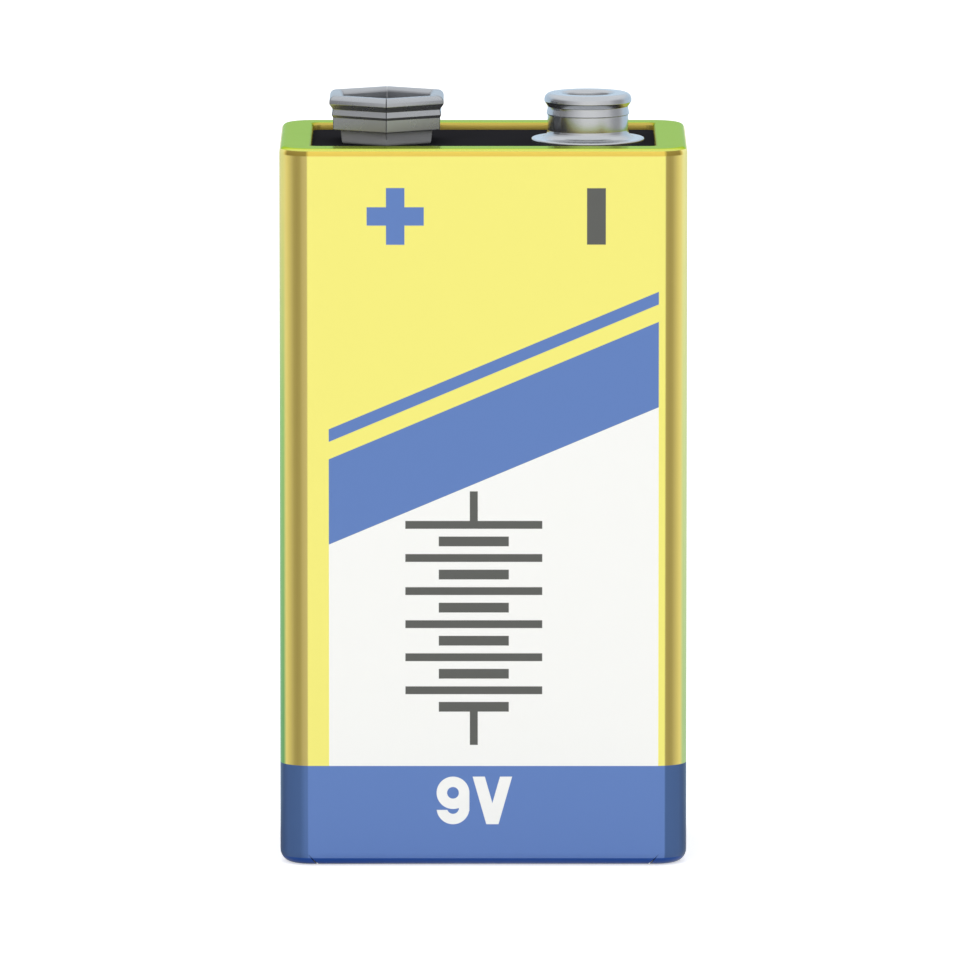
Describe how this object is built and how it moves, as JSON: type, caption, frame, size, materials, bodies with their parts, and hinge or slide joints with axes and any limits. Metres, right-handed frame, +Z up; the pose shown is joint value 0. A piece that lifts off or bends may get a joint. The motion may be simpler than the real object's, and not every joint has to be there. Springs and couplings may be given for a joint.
{
  "type": "nine volt battery",
  "caption": "Rectangular snap-terminal battery: six sealed cells in series inside a crimped, printed steel jacket, with a round stud and a hexagonal socket on its top board",
  "frame": {"origin": "middle of the base, on the surface that the battery stands on", "axes": "+Z up to the terminals, +Y from the printed front to the back, +X from the hexagonal socket to the round stud"},
  "size_m": [0.0256, 0.017, 0.0481],
  "materials": {
    "printed_steel": "glossy printed tinplate",
    "black_board": "smooth moulded board",
    "plated_snap": "bright nickel plate",
    "rivet_metal": "plated tubular rivet",
    "nickel_strip": "rolled nickel strip",
    "insulating_card": "fibre card",
    "base_board": "moulded plate",
    "wrap_film": "insulating film",
    "cell_can": "plated steel can"
  },
  "bodies": {
    "root": {"jacket": "printed_steel", "terminal_board": "black_board", "snap_crown": "plated_snap", "snap_stud": "plated_snap", "crown_rivet": "rivet_metal", "stud_rivet": "rivet_metal", "crown_tab": "nickel_strip", "stud_tab": "nickel_strip", "top_insulator": "insulating_card", "bottom_insulator": "insulating_card", "base_plate": "base_board", "inner_wrap": "wrap_film", "bottom_strap_1": "nickel_strip", "bottom_strap_2": "nickel_strip", "bottom_strap_3": "nickel_strip", "top_strap_1": "nickel_strip", "top_strap_2": "nickel_strip", "cell_1": "cell_can", "cell_2": "cell_can", "cell_3": "cell_can", "cell_4": "cell_can", "cell_5": "cell_can", "cell_6": "cell_can"}
  },
  "joints": []
}
